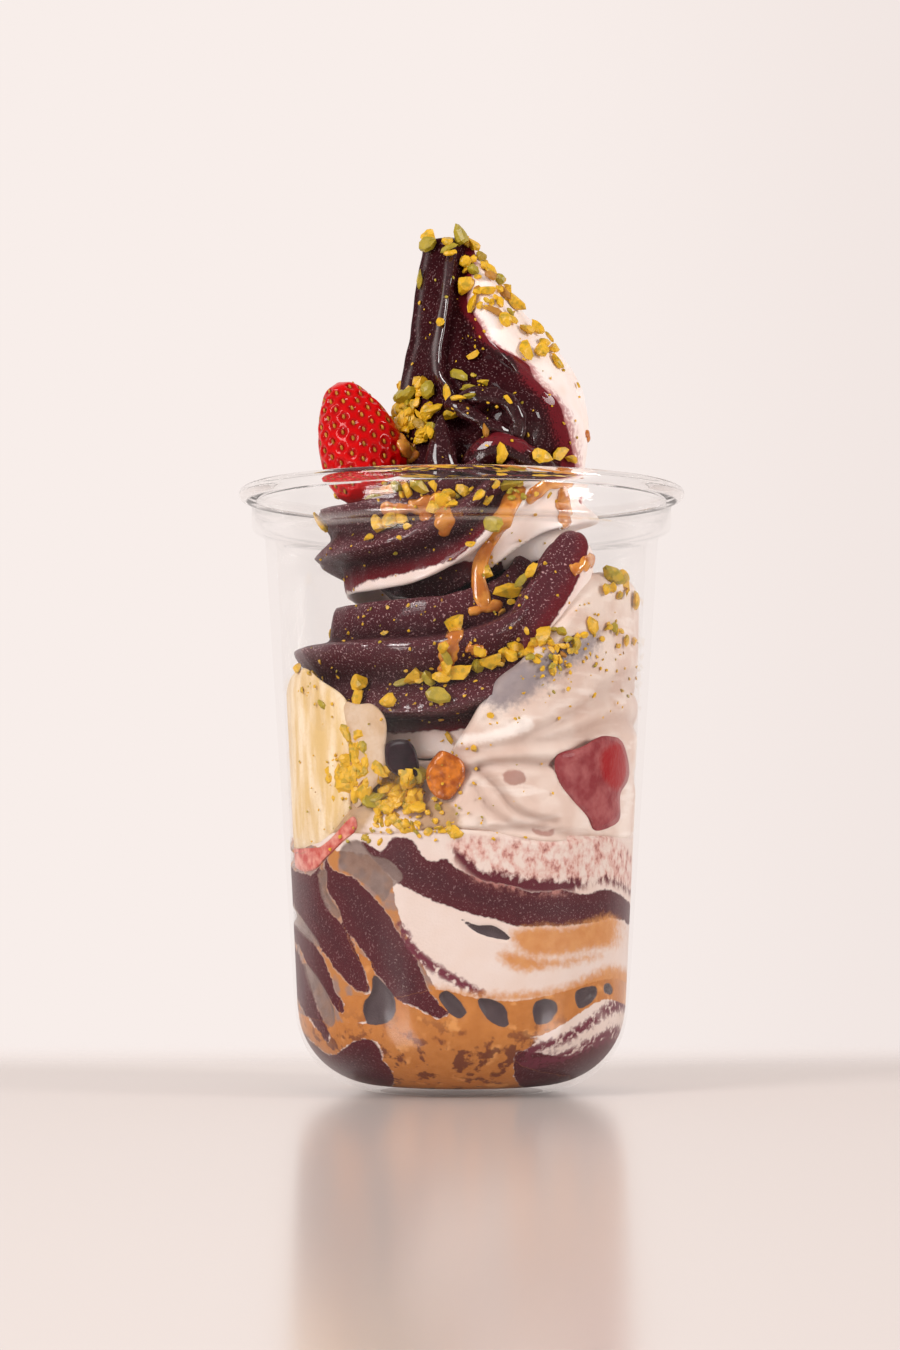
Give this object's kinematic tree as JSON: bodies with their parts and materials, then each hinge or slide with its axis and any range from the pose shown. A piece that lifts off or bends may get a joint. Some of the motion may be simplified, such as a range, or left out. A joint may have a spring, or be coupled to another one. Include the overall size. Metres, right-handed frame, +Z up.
{
  "type": "acai and vanilla soft serve dessert in a clear cup",
  "caption": "Clear tapered cup filled with layered acai and vanilla soft serve, fruit, nuts and peanut caramel, swirled to a leaning peak above the rim.",
  "frame": {"origin": "middle of the cup's flat base, on the surface that it stands on", "axes": "+Z up along the cup's axis; -Y towards the shown side; +X to the right as seen from that side"},
  "size_m": [0.095, 0.095, 0.1836],
  "materials": {
    "clear_plastic": "thin clear plastic, glossy",
    "peanut_caramel": "thick glossy peanut caramel",
    "acai": "dark purple-brown soft serve with a fine icy grain, glossy on the ridges",
    "vanilla": "smooth off-white soft serve",
    "strawberry": "wet red skin with yellow seeds in dimples",
    "frosted_strawberry": "frosted red fruit behind the wall",
    "banana": "soft cream-yellow flesh with brown streaks",
    "dark_berry": "near-black berry skin",
    "caramel_nut": "nuts set in hard caramel",
    "pistachio": "chopped nuts, yellow to olive green"
  },
  "bodies": {
    "root": {"cup": "clear_plastic", "peanut_caramel_sauce": "peanut_caramel", "acai_lower_swirl": "acai", "vanilla_lower_swirl": "vanilla", "acai_upper_swirl": "acai", "vanilla_upper_swirl": "vanilla", "strawberry": "strawberry", "strawberry_piece": "frosted_strawberry", "banana_slice_front": "banana", "banana_slice_side": "banana", "dark_berry": "dark_berry", "caramel_nut_cluster": "caramel_nut", "pistachio_heap": "pistachio"}
  },
  "joints": []
}
